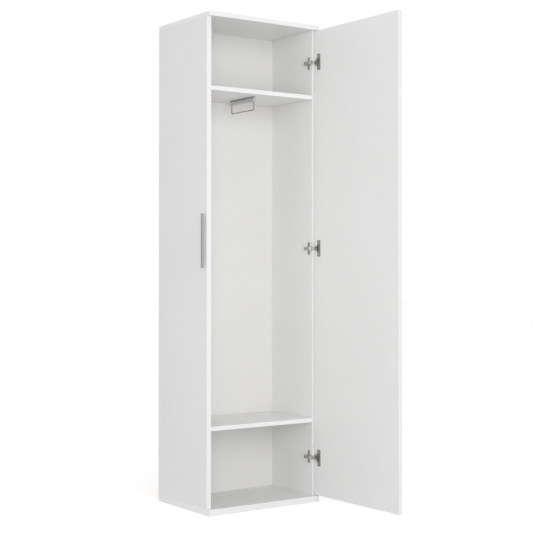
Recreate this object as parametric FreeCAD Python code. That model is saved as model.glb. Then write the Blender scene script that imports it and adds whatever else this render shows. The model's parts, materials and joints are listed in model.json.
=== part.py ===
import FreeCAD, Part
import math
import os

# Narrow hall wardrobe: a board carcass with one full-height door on three concealed hinges,
# two shelves, a pull-out hanger rail and slim bar handles. The front faces -Y, +Z is up.
# The origin is on the floor, under the centre of the carcass. All sizes are in millimetres.

# Carcass
height = 1850.0
width = 500.0
depth = 375.0
side_thickness = 19.0
top_thickness = 16.0
base_thickness = 25.0
shelf_thickness = 16.0
upper_space = 254.0
lower_space = 283.0
shelf_setback = 2.0
shelf_play = 0.4
back_thickness = 3.0
back_recess = 78.0
groove_depth = 8.0
groove_play = 0.1

# Door
door_thickness = 16.0
door_gap = 2.0
door_reveal = 3.0
door_open_angle = 91.0
door_axis_from_edge = 4.0
door_axis_from_face = 7.0

# Connecting screws, caps and dowels between the side panels and the top and base boards
screw_head_radius = 5.0
screw_head_length = 3.0
screw_shank_radius = 3.5
screw_shank_length = 47.0
screw_from_edge = 50.0
screw_recess_below = 1.0
screw_cap_radius = 6.5
screw_cap_thickness = 1.0
dowel_radius = 4.0
dowel_length = 30.0
dowel_from_edge = 100.0
dowel_from_back = 19.0

# Cam connectors of the upper shelf and pins of the lower shelf
cam_radius = 7.5
cam_cover = 3.5
cam_from_end = 34.0
cam_from_edge = 45.0
cam_bolt_radius = 3.0
cam_bolt_in_panel = 11.0
cam_bolt_in_cam = 5.0
cam_cap_radius = 8.5
cam_cap_thickness = 1.0
pin_radius = 2.5
pin_in_panel = 8.0
pin_from_edge = 40.0
pin_paddle_length = 10.0
pin_paddle_width = 9.0
pin_paddle_thickness = 2.5

# Door bumpers on the left side panel's front edge
bumper_radius = 4.0
bumper_play = 0.3
bumper_from_end = 75.0

# Wall bracket on the top board
bracket_width = 50.0
bracket_leg = 40.0
bracket_rise = 30.0
bracket_thickness = 2.0
bracket_hole_radius = 3.25
bracket_hole_height = 19.0
bracket_screw_radius = 2.0
bracket_screw_length = 12.0
bracket_screw_head_radius = 4.0
bracket_screw_head_length = 2.2
bracket_screw_spacing = 30.0

# Hinges: places along the door, then plate, arm, link and cup
bottom_hinge_from_end = 145.0
middle_hinge_above_center = 53.5
top_hinge_from_end = 124.0
plate_setback = 22.0
plate_wing_length = 50.0
plate_wing_width = 10.0
plate_wing_thickness = 1.6
plate_block_front = 12.0
plate_block_rear = 12.0
plate_screw_spacing = 32.0
plate_screw_radius = 1.9
plate_screw_length = 13.0
plate_screw_head_radius = 3.5
plate_screw_head_length = 2.0
arm_height = 15.0
arm_length = 38.0
arm_width = 13.0
arm_sheet = 1.2
arm_off_wall = 2.5
arm_taper_start = 2.0
arm_nose_from_wall = 7.0
arm_nose_reach = 10.5
arm_nose_radius = 2.1
arm_play = 0.5
arm_pin_radius = 1.5
arm_pin_proud = 0.4
adjust_screw_radius = 2.0
adjust_screw_length = 9.0
adjust_screw_head_radius = 3.2
adjust_screw_head_length = 1.8
adjust_screw_spacing = 12.0
link_pivot_radius = 6.5
link_play = 0.7
link_sheet = 1.2
link_root_radius = 2.1
link_tip_radius = 1.4
link_eye_radius = 0.8
link_bridge_share = 0.5
cup_radius = 17.5
cup_depth = 12.0
cup_wall = 1.0
cup_from_edge = 3.0
cup_flange_thickness = 1.2
cup_rim = 1.0
cup_ear_length = 63.0
cup_ear_width = 20.0
cup_ear_corner = 4.0
cup_boss_radius = 1.3
cup_boss_gap = 0.6
cup_screw_spacing = 45.0
cup_screw_offset = 9.5
cup_screw_radius = 1.75
cup_screw_length = 12.0
cup_screw_head_radius = 3.6
cup_screw_head_length = 1.4

# Bar handles
handle_length = 200.0
handle_width = 12.0
handle_thickness = 6.0
handle_corner = 1.5
handle_gap = 10.0
handle_above_center = 82.0
handle_post_spacing = 160.0
handle_post_radius = 3.2
handle_screw_radius = 2.0
handle_screw_from_bar = 3.0
handle_screw_head_radius = 4.0
handle_screw_head_length = 2.4
handle_cap_lap = 1.2
handle_cap_thickness = 0.8
side_handle_from_edge = 11.0
door_handle_from_edge = 40.0

# Pull-out hanger rail
rail_length = 163.0
rail_behind_middle = 5.0
rail_width = 12.0
rail_height = 18.0
rail_sheet = 1.5
rail_slot = 5.0
rail_screw_spacing = 90.0
rail_screw_radius = 1.9
rail_screw_length = 12.0
rail_screw_head_radius = 3.4
rail_screw_head_length = 1.8
runner_play = 0.3
runner_headroom = 3.9
rail_cap_thickness = 5.0
loop_drop = 51.0
loop_wire_radius = 2.0
loop_corner = 4.0
loop_from_end = 2.5

# Clearance round a shaft in a hole
fit_play = 0.05

# Places that follow from the sizes
half_width = width / 2
front = -depth / 2
rear = depth / 2
panel_front = front + door_thickness + door_gap
inner_x = half_width - side_thickness
top_under = height - top_thickness
back_face = rear - back_recess - back_thickness
upper_shelf_height = top_under - upper_space
lower_shelf_height = base_thickness + lower_space + shelf_thickness
shelf_front = panel_front + shelf_setback
shelf_back = back_face - shelf_play
door_face = panel_front - door_gap
door_edge = half_width - door_reveal
door_width = width - 2 * door_reveal
door_low = base_thickness + door_reveal
door_high = top_under - door_reveal
hinge_heights = {
    "bottom": door_low + bottom_hinge_from_end,
    "middle": (door_low + door_high) / 2 + middle_hinge_above_center,
    "top": door_high - top_hinge_from_end,
}
handle_height = height / 2 + handle_above_center
axis_x = door_edge - door_axis_from_edge
axis_y = door_face - door_axis_from_face
along_x = FreeCAD.Vector(1, 0, 0)
along_y = FreeCAD.Vector(0, 1, 0)
along_z = FreeCAD.Vector(0, 0, 1)
nodes = {}


def block(x_range, y_range, z_range):
    corner = FreeCAD.Vector(x_range[0], y_range[0], z_range[0])
    size = [high - low for low, high in (x_range, y_range, z_range)]
    return Part.makeBox(*size, corner)


def turned(start, direction, steps, play=0.0):
    """Round piece made of (radius, length) steps; with play it is the hole for that piece."""
    solid = None
    place = FreeCAD.Vector(*start)
    for radius, length in steps:
        step = Part.makeCylinder(radius + play, length, place, direction)
        solid = step if solid is None else solid.fuse(step)
        place = place + direction * length
    return solid.removeSplitter()


def cut_all(solid, cutters):
    return solid.cut(Part.makeCompound(cutters)).removeSplitter()


def opened(shape):
    """Turn a piece of the closed door about the hinge axis to the angle that it stands at."""
    turned_shape = shape.copy()
    turned_shape.rotate(FreeCAD.Vector(axis_x, axis_y, 0), along_z, door_open_angle)
    return turned_shape


def add(name, solids):
    nodes[name] = Part.makeCompound(solids) if len(solids) > 1 else solids[0]


# Connecting screws: down through the top board and up through the base board into the side panels
screw_steps = [(screw_head_radius, screw_head_length), (screw_shank_radius, screw_shank_length)]
screw_ys = [panel_front + screw_from_edge, rear - screw_from_edge]
dowel_ys = [panel_front + dowel_from_edge, back_face - dowel_from_back]
panel_xs = [-half_width + side_thickness / 2, half_width - side_thickness / 2]


def connecting_screws(play):
    screws = []
    for x in panel_xs:
        for y in screw_ys:
            screws.append(turned((x, y, height), -along_z, screw_steps, play))
            screws.append(turned((x, y, screw_recess_below), along_z, screw_steps, play))
    return screws


def dowels(play):
    pieces = []
    for x in panel_xs:
        for y in dowel_ys:
            for joint_z in (base_thickness, top_under):
                start = (x, y, joint_z - dowel_length / 2)
                pieces.append(turned(start, along_z, [(dowel_radius, dowel_length)], play))
    return pieces


def screw_caps():
    steps = [(screw_cap_radius, screw_cap_thickness)]
    return [turned((x, y, height), along_z, steps) for x in panel_xs for y in screw_ys]


def screw_recesses():
    steps = [(screw_head_radius + fit_play, screw_recess_below)]
    return [turned((x, y, 0), along_z, steps) for x in panel_xs for y in screw_ys]


# Cam connectors: a bolt in the side panel, drawn into the shelf by a cam under a flat cap
cam_ys = [shelf_front + cam_from_edge, shelf_back - cam_from_edge]
cam_x = inner_x - cam_from_end
cam_height = shelf_thickness - cam_cover
shelf_under = upper_shelf_height - shelf_thickness
bolt_z = upper_shelf_height - shelf_thickness / 2
bolt_length = cam_bolt_in_panel + cam_from_end - cam_radius + cam_bolt_in_cam


def cam_bolts(play):
    bolts = []
    for side in (-1, 1):
        for y in cam_ys:
            start = (side * (inner_x + cam_bolt_in_panel), y, bolt_z)
            bolts.append(turned(start, along_x * -side, [(cam_bolt_radius, bolt_length)], play))
    return bolts


def cam_places():
    return [(side * cam_x, y) for side in (-1, 1) for y in cam_ys]


def cams(play):
    steps = [(cam_radius, cam_height)]
    return [turned((x, y, shelf_under), along_z, steps, play) for x, y in cam_places()]


def cam_caps():
    steps = [(cam_cap_radius, cam_cap_thickness)]
    return [turned((x, y, shelf_under), -along_z, steps) for x, y in cam_places()]


# Shelf pins: a round peg in the side panel with a flat paddle under the shelf
pin_ys = [shelf_front + pin_from_edge, shelf_back - pin_from_edge]
pin_z = lower_shelf_height - shelf_thickness - pin_radius


def shelf_pegs(play):
    pegs = []
    for side in (-1, 1):
        for y in pin_ys:
            start = (side * (inner_x + pin_in_panel), y, pin_z)
            pegs.append(turned(start, along_x * -side, [(pin_radius, pin_in_panel)], play))
    return pegs


def shelf_pins():
    pins = []
    for peg, (side, y) in zip(shelf_pegs(0), [(side, y) for side in (-1, 1) for y in pin_ys]):
        x_range = sorted((side * inner_x, side * (inner_x - pin_paddle_length)))
        y_range = (y - pin_paddle_width / 2, y + pin_paddle_width / 2)
        paddle_top = pin_z + pin_radius
        paddle = block(x_range, y_range, (paddle_top - pin_paddle_thickness, paddle_top))
        neck = block(x_range, y_range, (pin_z - pin_radius, paddle_top))
        neck = neck.common(turned((side * inner_x, y, pin_z), along_x * -side,
                                  [(pin_radius, pin_paddle_length / 2)]))
        pins.append(peg.fuse([paddle, neck]).removeSplitter())
    return pins


# Bar handles: a flat bar on two posts, each held by a screw from the inner side of the board
def handle_zs():
    return [handle_height - handle_post_spacing / 2, handle_height + handle_post_spacing / 2]


def handle_bar(center, outward):
    """Bar that stands off a face at center, a point on that face, along the outward direction."""
    across = along_z.cross(outward)
    start = center + outward * handle_gap - across * (handle_width / 2)
    start = start - along_z * (handle_length / 2)
    outline = [start, start + across * handle_width]
    outline.append(outline[1] + outward * handle_thickness)
    outline.append(outline[0] + outward * handle_thickness)
    bar = Part.Face(Part.makePolygon(outline + [start])).extrude(along_z * handle_length)
    long_edges = [edge for edge in bar.Edges if abs(edge.Length - handle_length) < 0.001]
    return bar.makeFillet(handle_corner, long_edges)


def handle_screws(center, outward, seat, play):
    """Screws into the posts, with their heads on seats that lie behind the face by the given depth."""
    shank = seat + handle_gap - handle_screw_from_bar
    steps = [(handle_screw_head_radius, handle_screw_head_length), (handle_screw_radius, shank)]
    screws = []
    for z in handle_zs():
        start = FreeCAD.Vector(center.x, center.y, z) - outward * (seat + handle_screw_head_length)
        screws.append(turned(start, outward, steps, play))
    return screws


def handle_posts(center, outward, seat):
    posts = []
    for z in handle_zs():
        start = FreeCAD.Vector(center.x, center.y, z)
        posts.append(turned(start, outward, [(handle_post_radius, handle_gap)]))
    holes = handle_screws(center, outward, seat, fit_play)
    return [cut_all(post, holes) for post in posts]


side_handle = FreeCAD.Vector(-half_width, panel_front + side_handle_from_edge, handle_height)
door_handle = FreeCAD.Vector(door_edge - door_width + door_handle_from_edge, front, handle_height)
sunk_seat = door_thickness - handle_screw_head_length


def door_handle_caps():
    """Thin white caps that hide the two sunk screw heads on the door's inner face."""
    steps = [(handle_screw_head_radius + handle_cap_lap, handle_cap_thickness)]
    return [turned((door_handle.x, door_face, z), along_y, steps) for z in handle_zs()]


# Hinge plates: a cross-shaped plate on the right side panel, with a block that the arm sits on
plate_y = panel_front + plate_setback
arm_top = inner_x - arm_height
arm_rear = panel_front + arm_length
arm_inner_half = arm_width / 2 - arm_sheet


def plate_screws(z, play):
    head_x = inner_x - plate_wing_thickness - plate_screw_head_length
    steps = [(plate_screw_head_radius, plate_screw_head_length), (plate_screw_radius, plate_screw_length)]
    offsets = (-plate_screw_spacing / 2, plate_screw_spacing / 2)
    return [turned((head_x, plate_y, z + offset), along_x, steps, play) for offset in offsets]


def adjust_screws(z, play):
    steps = [(adjust_screw_head_radius, adjust_screw_head_length),
             (adjust_screw_radius, adjust_screw_length)]
    middle = plate_y + (plate_block_rear - plate_block_front) / 2
    ys = (middle - adjust_screw_spacing / 2, middle + adjust_screw_spacing / 2)
    return [turned((arm_top - adjust_screw_head_length, y, z), along_x, steps, play) for y in ys]


def hinge_plate(z):
    wing_y = (plate_y - plate_wing_width / 2, plate_y + plate_wing_width / 2)
    wing_z = (z - plate_wing_length / 2, z + plate_wing_length / 2)
    wing = block((inner_x - plate_wing_thickness, inner_x), wing_y, wing_z)
    half = arm_inner_half - arm_play
    block_y = (plate_y - plate_block_front, plate_y + plate_block_rear)
    seat = block((arm_top + arm_sheet, inner_x), block_y, (z - half, z + half))
    return cut_all(wing.fuse(seat), plate_screws(z, fit_play) + adjust_screws(z, fit_play))


# Hinge arms: a bent sheet channel over the plate, with a tapered nose that carries the link's pin
nose_x = inner_x - arm_nose_from_wall
nose_y = panel_front - arm_nose_reach


def arm_pin(z, play):
    length = arm_width + 2 * arm_pin_proud
    return turned((nose_x, nose_y, z - length / 2), along_z, [(arm_pin_radius, length)], play)


def arm_cheek(z_low):
    wall_side = inner_x - arm_off_wall
    taper_y = panel_front + arm_taper_start
    points = [(nose_x + arm_nose_radius, nose_y), (wall_side, taper_y), (wall_side, arm_rear),
              (arm_top, arm_rear), (arm_top, taper_y), (nose_x - arm_nose_radius, nose_y)]
    corners = [FreeCAD.Vector(x, y, z_low) for x, y in points]
    tip = FreeCAD.Vector(nose_x, nose_y - arm_nose_radius, z_low)
    edges = [Part.LineSegment(a, b).toShape() for a, b in zip(corners, corners[1:])]
    edges.append(Part.Arc(corners[-1], tip, corners[0]).toShape())
    return Part.Face(Part.Wire(edges)).extrude(along_z * arm_sheet)


def hinge_arm(z):
    web_y = (panel_front + arm_taper_start, arm_rear)
    web = block((arm_top, arm_top + arm_sheet), web_y, (z - arm_width / 2, z + arm_width / 2))
    cheeks = [arm_cheek(z - arm_width / 2), arm_cheek(z + arm_width / 2 - arm_sheet)]
    return cut_all(web.fuse(cheeks), adjust_screws(z, fit_play) + [arm_pin(z, fit_play)])


# Hinge links: a small forked link from the arm's pin to the pivot in the cup. The pivot's place on
# the door lies so that the link reaches it both with the door closed and as it stands open.
link_middle = math.atan2(nose_y - axis_y, nose_x - axis_x)
link_width = 2 * (arm_inner_half - link_play)
half_swing = math.radians(door_open_angle / 2)


def link_pivot(turn):
    x = axis_x + link_pivot_radius * math.cos(link_middle + turn)
    y = axis_y + link_pivot_radius * math.sin(link_middle + turn)
    return FreeCAD.Vector(x, y, 0)


def link_cheek(root, tip, z_low):
    lift = along_z * z_low
    side = along_z.cross(tip - root).normalize()
    points = [root + side * link_root_radius, root - side * link_root_radius,
              tip - side * link_tip_radius, tip + side * link_tip_radius]
    points = [point + lift for point in points]
    plate = Part.Face(Part.makePolygon(points + points[:1])).extrude(along_z * link_sheet)
    ends = [turned(root + lift, along_z, [(link_root_radius, link_sheet)]),
            turned(tip + lift, along_z, [(link_tip_radius, link_sheet)])]
    return plate.fuse(ends)


def hinge_link(z):
    root = FreeCAD.Vector(nose_x, nose_y, 0)
    tip = link_pivot(half_swing)
    low = z - link_width / 2
    high = z + link_width / 2 - link_sheet
    bridge_place = root + (tip - root) * link_bridge_share + along_z * low
    bridge = turned(bridge_place, along_z, [(link_tip_radius, link_width)])
    eye = turned(tip + along_z * low, along_z, [(link_eye_radius, link_width)])
    fork = link_cheek(root, tip, low).fuse([link_cheek(root, tip, high), bridge])
    return cut_all(fork, [arm_pin(z, fit_play), eye])


# Hinge cups: a round pressed cup in the door with a rim and two ears, and bosses for the link
cup_x = door_edge - cup_from_edge - cup_radius


def cup_bore(z, radius, bottom):
    length = cup_depth - bottom + cup_flange_thickness
    return turned((cup_x, door_face - cup_depth + bottom, z), along_y, [(radius, length)])


def cup_screws(z, play):
    start_y = door_face + cup_flange_thickness + cup_screw_head_length
    steps = [(cup_screw_head_radius, cup_screw_head_length), (cup_screw_radius, cup_screw_length)]
    x = cup_x - cup_screw_offset
    offsets = (-cup_screw_spacing / 2, cup_screw_spacing / 2)
    return [turned((x, start_y, z + offset), -along_y, steps, play) for offset in offsets]


def cup_flange(z):
    ear_x = (cup_x - cup_screw_offset - cup_ear_width / 2, cup_x - cup_screw_offset + cup_ear_width / 2)
    ear_y = (door_face, door_face + cup_flange_thickness)
    ears = block(ear_x, ear_y, (z - cup_ear_length / 2, z + cup_ear_length / 2))
    corners = [edge for edge in ears.Edges if abs(edge.Length - cup_flange_thickness) < 0.001]
    ears = ears.makeFillet(cup_ear_corner, corners)
    rim = turned((cup_x, door_face, z), along_y, [(cup_radius + cup_rim, cup_flange_thickness)])
    return ears.fuse(rim)


def hinge_cup(z):
    shell = turned((cup_x, door_face - cup_depth, z), along_y, [(cup_radius - fit_play, cup_depth)])
    pivot = link_pivot(-half_swing)
    boss_length = cup_radius - link_width / 2 - cup_boss_gap
    bosses = []
    for side in (-1, 1):
        start = pivot + along_z * (z + side * (link_width / 2 + cup_boss_gap))
        boss = turned(start, along_z * side, [(cup_boss_radius, boss_length)])
        bosses.append(boss.common(shell))
    bore = cup_bore(z, cup_radius - cup_wall, cup_wall)
    cup = shell.fuse(cup_flange(z)).cut(bore).fuse(bosses)
    return cut_all(cup, cup_screws(z, fit_play))


# Pull-out hanger rail: a lipped channel under the upper shelf, a runner in it and a wire loop
rail_middle = (panel_front + back_face) / 2 + rail_behind_middle
rail_front = rail_middle - rail_length / 2
rail_rear = rail_middle + rail_length / 2
rail_low = shelf_under - rail_height
runner_low = rail_low + rail_sheet + runner_play
runner_high = shelf_under - rail_sheet - rail_screw_head_length - runner_headroom


def rail_screws(play):
    start_z = shelf_under - rail_sheet - rail_screw_head_length
    steps = [(rail_screw_head_radius, rail_screw_head_length), (rail_screw_radius, rail_screw_length)]
    ys = (rail_middle - rail_screw_spacing / 2, rail_middle + rail_screw_spacing / 2)
    return [turned((0, y, start_z), along_z, steps, play) for y in ys]


def rail_housing():
    half = rail_width / 2
    body = block((-half, half), (rail_front, rail_rear), (rail_low, shelf_under))
    inside = half - rail_sheet
    inside_z = (rail_low + rail_sheet, shelf_under - rail_sheet)
    hollow = block((-inside, inside), (rail_front, rail_rear - rail_sheet), inside_z)
    slot_x = (-rail_slot / 2, rail_slot / 2)
    slot = block(slot_x, (rail_front, rail_rear - rail_sheet), (rail_low, rail_low + rail_sheet))
    return cut_all(body, [hollow, slot] + rail_screws(fit_play))


def rail_runner():
    half = rail_width / 2 - rail_sheet - runner_play
    y_range = (rail_front, rail_rear - rail_sheet - runner_play)
    return block((-half, half), y_range, (runner_low, runner_high))


def rail_cap():
    half = rail_width / 2
    y_range = (rail_front - rail_cap_thickness, rail_front)
    cap = block((-half, half), y_range, (rail_low, shelf_under - rail_sheet))
    upright = [edge for edge in cap.Edges if edge.BoundBox.YMax < rail_front - rail_cap_thickness / 2]
    return cap.makeFillet(rail_sheet, upright)


def wire_loop():
    front_y = rail_front + loop_from_end
    rear_y = rail_rear - rail_sheet - runner_play - loop_from_end
    bottom = shelf_under - loop_drop
    bend = loop_corner * (1 - math.sqrt(0.5))
    places = [(front_y, runner_low), (front_y, bottom + loop_corner), (front_y + bend, bottom + bend),
              (front_y + loop_corner, bottom), (rear_y - loop_corner, bottom),
              (rear_y - bend, bottom + bend), (rear_y, bottom + loop_corner), (rear_y, runner_low)]
    points = [FreeCAD.Vector(0, y, z) for y, z in places]
    path = Part.Wire([
        Part.LineSegment(points[0], points[1]).toShape(),
        Part.Arc(points[1], points[2], points[3]).toShape(),
        Part.LineSegment(points[3], points[4]).toShape(),
        Part.Arc(points[4], points[5], points[6]).toShape(),
        Part.LineSegment(points[6], points[7]).toShape(),
    ])
    section = Part.Wire(Part.makeCircle(loop_wire_radius, points[0], along_z))
    return path.makePipeShell([section], True, False)


# Wall bracket: a bent steel angle screwed to the top board, with a hole for a screw into the wall
def bracket_screws(play):
    y = rear - bracket_leg / 2
    steps = [(bracket_screw_head_radius, bracket_screw_head_length),
             (bracket_screw_radius, bracket_screw_length)]
    start_z = height + bracket_thickness + bracket_screw_head_length
    xs = (-bracket_screw_spacing / 2, bracket_screw_spacing / 2)
    return [turned((x, y, start_z), -along_z, steps, play) for x in xs]


def wall_bracket():
    x_range = (-bracket_width / 2, bracket_width / 2)
    leg = block(x_range, (rear - bracket_leg, rear), (height, height + bracket_thickness))
    rise = block(x_range, (rear - bracket_thickness, rear), (height, height + bracket_rise))
    start = (0, rear - bracket_thickness, height + bracket_hole_height)
    hole = turned(start, along_y, [(bracket_hole_radius, bracket_thickness)])
    return cut_all(leg.fuse(rise), bracket_screws(fit_play) + [hole])


# Boards
def back_panel(play):
    half = inner_x + groove_depth - groove_play + play
    y_range = (back_face - play, back_face + back_thickness + play)
    z_range = (base_thickness - groove_depth, top_under + groove_depth - groove_play + play)
    return block((-half, half), y_range, z_range)


def side_panel(side):
    x_range = sorted((side * inner_x, side * half_width))
    panel = block(x_range, (panel_front, rear), (base_thickness, top_under))
    holes = connecting_screws(fit_play) + dowels(fit_play) + cam_bolts(fit_play) + shelf_pegs(fit_play)
    holes.append(back_panel(groove_play))
    if side < 0:
        holes += handle_screws(side_handle, -along_x, side_thickness, fit_play)
    else:
        for z in hinge_heights.values():
            holes += plate_screws(z, fit_play)
    return cut_all(panel, holes)


def cross_board(z_range):
    board = block((-half_width, half_width), (front, rear), z_range)
    holes = connecting_screws(fit_play) + dowels(fit_play) + screw_recesses() + bracket_screws(fit_play)
    holes.append(back_panel(groove_play))
    return cut_all(board, holes)


def shelf(top_z):
    half = inner_x - shelf_play
    return block((-half, half), (shelf_front, shelf_back), (top_z - shelf_thickness, top_z))


def door_panel():
    panel = block((door_edge - door_width, door_edge), (front, door_face), (door_low, door_high))
    holes = handle_screws(door_handle, -along_y, sunk_seat, fit_play)
    for z in hinge_heights.values():
        holes.append(cup_bore(z, cup_radius, 0))
        holes += cup_screws(z, fit_play)
    return cut_all(panel, holes)


def bumpers():
    steps = [(bumper_radius, door_gap - bumper_play)]
    zs = (base_thickness + bumper_from_end, top_under - bumper_from_end)
    return [turned((panel_xs[0], panel_front, z), -along_y, steps) for z in zs]


# Carcass pieces
add("side_panel_left", [side_panel(-1)])
add("side_panel_right", [side_panel(1)])
add("top_panel", [cross_board((top_under, height))])
add("base_panel", [cross_board((0, base_thickness))])
add("back_panel", [back_panel(0)])
upper_shelf_holes = cams(fit_play) + cam_bolts(fit_play) + rail_screws(fit_play)
add("upper_shelf", [cut_all(shelf(upper_shelf_height), upper_shelf_holes)])
add("lower_shelf", [shelf(lower_shelf_height)])
add("carcass_screws", connecting_screws(0))
add("top_screw_caps", screw_caps())
add("carcass_dowels", dowels(0))
add("shelf_cams", [cut_all(cam, cam_bolts(fit_play)) for cam in cams(0)])
add("shelf_cam_bolts", cam_bolts(0))
add("shelf_cam_caps", cam_caps())
add("shelf_pins", shelf_pins())
add("door_bumpers", bumpers())
add("wall_bracket", [wall_bracket()])
add("wall_bracket_screws", bracket_screws(0))
add("side_handle_bar", [handle_bar(side_handle, -along_x)])
add("side_handle_posts", handle_posts(side_handle, -along_x, side_thickness))
add("side_handle_screws", handle_screws(side_handle, -along_x, side_thickness, 0))
add("rail_housing", [rail_housing()])
add("rail_screws", rail_screws(0))

# Sliding pieces of the hanger rail
add("rail_runner", [rail_runner()])
add("rail_front_cap", [rail_cap()])
add("rail_wire_loop", [wire_loop()])

# Door pieces
outward = -along_y
add("door_panel", [opened(door_panel())])
add("door_handle_bar", [opened(handle_bar(door_handle, outward))])
add("door_handle_posts", [opened(post) for post in handle_posts(door_handle, outward, sunk_seat)])
add("door_handle_screws", [opened(one) for one in handle_screws(door_handle, outward, sunk_seat, 0)])
add("door_handle_caps", [opened(cap) for cap in door_handle_caps()])

# Hinge pieces
for name, z in hinge_heights.items():
    add("hinge_plate_" + name, [hinge_plate(z)])
    add("hinge_arm_" + name, [hinge_arm(z)])
    add("hinge_link_" + name, [hinge_link(z)])
    add("hinge_cup_" + name, [opened(hinge_cup(z))])
hinge_zs = list(hinge_heights.values())
add("hinge_plate_screws", [screw for z in hinge_zs for screw in plate_screws(z, 0)])
add("hinge_adjusting_screws", [screw for z in hinge_zs for screw in adjust_screws(z, 0)])
add("hinge_pins", [arm_pin(z, 0) for z in hinge_zs])
add("hinge_cup_screws", [opened(screw) for z in hinge_zs for screw in cup_screws(z, 0)])

os.makedirs("parts", exist_ok=True)
for name, shape in nodes.items():
    shape.exportStep("parts/" + name + ".step")
    print(name, len(shape.Solids), "solids, valid", shape.isValid(), round(shape.Volume), "mm3")
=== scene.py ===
import json
import math

import bmesh
import bpy
from mathutils import Matrix, Vector


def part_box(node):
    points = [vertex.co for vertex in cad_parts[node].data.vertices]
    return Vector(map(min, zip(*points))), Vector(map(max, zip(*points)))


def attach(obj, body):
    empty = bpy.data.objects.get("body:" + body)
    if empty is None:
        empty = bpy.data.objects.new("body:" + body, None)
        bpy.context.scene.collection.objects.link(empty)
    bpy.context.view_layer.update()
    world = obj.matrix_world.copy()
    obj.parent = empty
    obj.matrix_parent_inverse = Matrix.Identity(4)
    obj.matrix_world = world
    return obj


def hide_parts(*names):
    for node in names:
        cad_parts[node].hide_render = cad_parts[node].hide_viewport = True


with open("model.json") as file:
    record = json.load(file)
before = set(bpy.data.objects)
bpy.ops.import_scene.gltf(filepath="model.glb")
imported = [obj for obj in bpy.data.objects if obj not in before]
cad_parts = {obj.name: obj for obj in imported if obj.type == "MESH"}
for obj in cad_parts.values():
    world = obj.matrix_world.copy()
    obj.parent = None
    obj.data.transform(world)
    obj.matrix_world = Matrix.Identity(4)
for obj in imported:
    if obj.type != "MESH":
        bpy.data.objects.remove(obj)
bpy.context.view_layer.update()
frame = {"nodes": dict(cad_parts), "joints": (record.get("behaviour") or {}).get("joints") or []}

# Side panels, top board and base board: chipboard faced with white melamine foil. The edges that
# show carry a glued band with eased corners, and the rear edges stay as sawn. The panels stand
# between the two cross boards, which screws and dowels hold to them.
to_left, to_right = Vector((-1, 0, 0)), Vector((1, 0, 0))
to_front, to_rear = Vector((0, -1, 0)), Vector((0, 1, 0))
upward, downward = Vector((0, 0, 1)), Vector((0, 0, -1))
band_radius = 0.0008
facing_share = 0.2
crease_angle = math.radians(50)
mark_range = (0.3, 0.7)
foil_white, foil_shade = (0.880, 0.880, 0.876), (0.862, 0.862, 0.857)
# The band's white is a little lighter than the foil's: painted light on the edges it covers.
painted_light_band_white, painted_light_band_shade = (0.910, 0.910, 0.908), (0.896, 0.896, 0.893)
chip_light, chip_dark = (0.60, 0.46, 0.30), (0.33, 0.22, 0.12)
pearl_size, chip_size = 0.0008, 0.0022


def shader_of(finish):
    """Shader that a material starts with."""
    return finish.node_tree.nodes["Principled BSDF"]


def new_finish(name, constants):
    """Material whose shader takes the given constant values on its own sockets."""
    finish = bpy.data.materials.new(name)
    finish.use_nodes = True
    for socket, value in constants.items():
        shader_of(finish).inputs[socket].default_value = value
    return finish


def add_node(finish, kind, inputs):
    """Node of a material or world; each input is a constant or the output that feeds it."""
    node = finish.node_tree.nodes.new("ShaderNode" + kind)
    for socket, value in inputs.items():
        if isinstance(value, bpy.types.NodeSocket):
            finish.node_tree.links.new(value, node.inputs[socket])
        else:
            node.inputs[socket].default_value = value
    return node


def grain(finish, size, stretch=(1, 1, 1), detail=3):
    """Cloudy pattern of marks of one size, in the piece's own coordinates, drawn out along an axis."""
    place = add_node(finish, "TexCoord", {}).outputs["Object"]
    place = add_node(finish, "Mapping", {"Vector": place, "Scale": stretch}).outputs["Vector"]
    marks = {"Vector": place, "Scale": 1 / size, "Detail": detail}
    return add_node(finish, "TexNoise", marks).outputs["Fac"]


def flakes(finish, size):
    """Pattern of pressed flakes, each with a tone of its own."""
    place = add_node(finish, "TexCoord", {}).outputs["Object"]
    tones = add_node(finish, "TexVoronoi", {"Vector": place, "Scale": 1 / size}).outputs["Color"]
    return add_node(finish, "RGBToBW", {"Color": tones}).outputs["Val"]


def colour_by(finish, pattern, dark, light):
    """Base colour that runs from dark to light with a pattern."""
    ramp = add_node(finish, "ValToRGB", {"Fac": pattern})
    for stop, position, colour in zip(ramp.color_ramp.elements, mark_range, (dark, light)):
        stop.position = position
        stop.color = (*colour, 1)
    finish.node_tree.links.new(ramp.outputs["Color"], shader_of(finish).inputs["Base Color"])


def gloss_by(finish, pattern, smooth, rough):
    """Roughness that runs between two values with a pattern."""
    spread = add_node(finish, "MapRange", {"Value": pattern, "To Min": smooth, "To Max": rough})
    finish.node_tree.links.new(spread.outputs["Result"], shader_of(finish).inputs["Roughness"])


def relief_by(finish, pattern, depth):
    """Fine relief of a given depth in metres, raised by a pattern."""
    bump = add_node(finish, "Bump", {"Height": pattern, "Distance": depth, "Strength": 1})
    finish.node_tree.links.new(bump.outputs["Normal"], shader_of(finish).inputs["Normal"])


def melamine_foil():
    """White foil with a fine pearl, as pressed onto chipboard."""
    finish = new_finish("white_melamine", {"Specular IOR Level": 0.45})
    colour_by(finish, grain(finish, size=0.35), foil_shade, foil_white)
    pearl = grain(finish, pearl_size)
    gloss_by(finish, pearl, smooth=0.40, rough=0.52)
    relief_by(finish, pearl, depth=0.00002)
    return finish


def edge_band():
    """White plastic band, a little lighter than the foil to paint light onto the edges it covers, with
    faint lines along the way it was drawn.
    """
    finish = new_finish("white_edge_band", {"Specular IOR Level": 0.5})
    colour_by(finish, grain(finish, size=0.12), painted_light_band_shade, painted_light_band_white)
    drawn = grain(finish, size=0.0015, stretch=(1, 1, 0.05))
    gloss_by(finish, drawn, smooth=0.30, rough=0.42)
    relief_by(finish, drawn, depth=0.000008)
    return finish


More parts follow.
